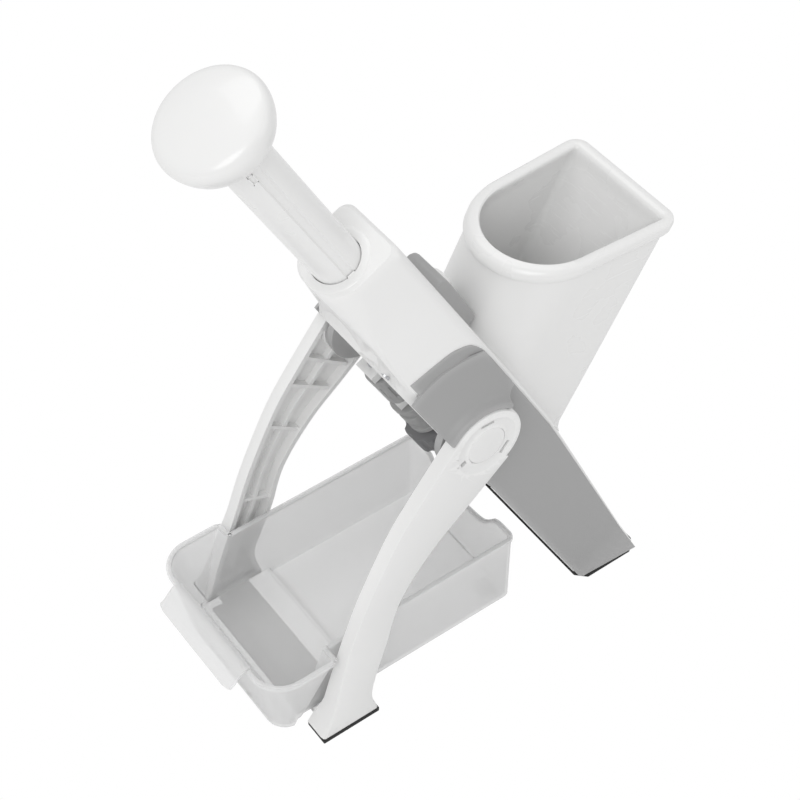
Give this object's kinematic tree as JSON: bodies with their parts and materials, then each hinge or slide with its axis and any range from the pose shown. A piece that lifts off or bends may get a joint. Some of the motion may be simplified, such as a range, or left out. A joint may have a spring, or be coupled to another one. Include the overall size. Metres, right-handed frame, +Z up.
{
  "type": "french fry cutter",
  "caption": "Stand-up plunger french fry cutter with a leaning body, D-shaped feed chute, swing-out legs, setting knobs and a clear catch tray.",
  "frame": {"origin": "on the table, at the middle of the outline's bottom face", "axes": "+X towards the back, where the body stands on its foot; +Y towards the far side; +Z up"},
  "size_m": [0.3144, 0.1454, 0.4438],
  "materials": {
    "white_shell": "glossy moulded white ABS",
    "white_frame": "satin moulded white ABS",
    "white_chute": "glossy moulded white ABS with a polished rim",
    "white_plunger": "glossy moulded white ABS",
    "white_leg": "semi-gloss moulded white ABS",
    "grey_cover": "fine satin grey ABS",
    "grey_latch": "fine satin grey ABS",
    "grey_mechanism": "satin grey acetal",
    "dark_knob": "satin dark grey ABS",
    "blade_steel": "ground stainless steel, sharpened",
    "rod_steel": "drawn stainless rod",
    "spring_steel": "bright spring wire",
    "screw_steel": "zinc-plated steel",
    "black_rubber": "matt black non-slip rubber",
    "frosted_tray": "frosted translucent polypropylene"
  },
  "bodies": {
    "body": {"main_housing": "white_shell", "front_frame": "white_frame", "near_side_cover": "grey_cover", "far_side_cover": "grey_cover", "rod_collar": "white_shell", "feed_chute": "white_chute", "near_guide_rod": "rod_steel", "far_guide_rod": "rod_steel", "near_return_spring": "spring_steel", "far_return_spring": "spring_steel", "near_pivot_pin": "rod_steel", "far_pivot_pin": "rod_steel", "body_foot_pad": "black_rubber", "frame_screws": "screw_steel"},
    "plunger": {"plunger_rod": "white_plunger", "plunger_knob": "white_plunger", "blade_sled": "white_frame", "slicing_blade": "blade_steel", "blade_screws": "screw_steel"},
    "slice_plate": {"thickness_plate": "grey_mechanism"},
    "slice_knob": {"thickness_knob": "dark_knob", "thickness_shaft": "rod_steel", "thickness_cam": "grey_mechanism"},
    "fry_knives": {"julienne_knives": "blade_steel"},
    "fry_drum": {"julienne_drum": "grey_mechanism"},
    "legs": {"near_leg": "white_leg", "far_leg": "white_leg", "crossbar": "white_leg", "crossbar_screws": "screw_steel", "near_foot_pad": "black_rubber", "far_foot_pad": "black_rubber", "near_hub_cap": "white_leg", "far_hub_cap": "white_leg"},
    "tray": {"catch_container": "frosted_tray"},
    "latch": {"chute_latch": "grey_latch", "latch_button": "white_shell"}
  },
  "joints": [
    {"name": "plunger_press", "type": "slide", "parent": "body", "child": "plunger", "axis": [0.4726, 0, -0.8813], "range_m": [0, 0.088], "stiffness_N_per_m": 120, "springref_m": -0.06, "deforming": ["near_return_spring", "far_return_spring"]},
    {"name": "slice_set", "type": "hinge", "parent": "plunger", "child": "slice_knob", "pos_m": [0.0399, 0.022, 0.0931], "axis": [-0.4726, 0, 0.8813], "range_deg": [0, 270]},
    {"name": "plate_lift", "type": "slide", "parent": "plunger", "child": "slice_plate", "axis": [-0.8813, 0, -0.4726], "range_m": [0, 0.008]},
    {"name": "fry_set", "type": "hinge", "parent": "plunger", "child": "fry_drum", "pos_m": [0.0399, 0.022, 0.0931], "axis": [-0.4726, 0, 0.8813], "range_deg": [0, 180]},
    {"name": "knife_drop", "type": "slide", "parent": "plunger", "child": "fry_knives", "axis": [-0.8813, 0, -0.4726], "range_m": [0, 0.004]},
    {"name": "legs_fold", "type": "hinge", "parent": "body", "child": "legs", "pos_m": [0.00585, 0, 0.1836], "axis": [0, -1, 0], "range_deg": [0, 34]},
    {"name": "tray_out", "type": "slide", "parent": "body", "child": "tray", "axis": [-0.766, 0, 0.6428], "range_m": [0, 0.06]},
    {"name": "latch_slide", "type": "slide", "parent": "body", "child": "latch", "axis": [-0.4726, 0, 0.8813], "range_m": [0, 0.006]}
  ],
  "couplings": [
    {"joint": "plate_lift", "follows": "slice_set", "m_per_rad": 0.0016977},
    {"joint": "knife_drop", "follows": "fry_set", "m_per_rad": 0.0012732}
  ]
}
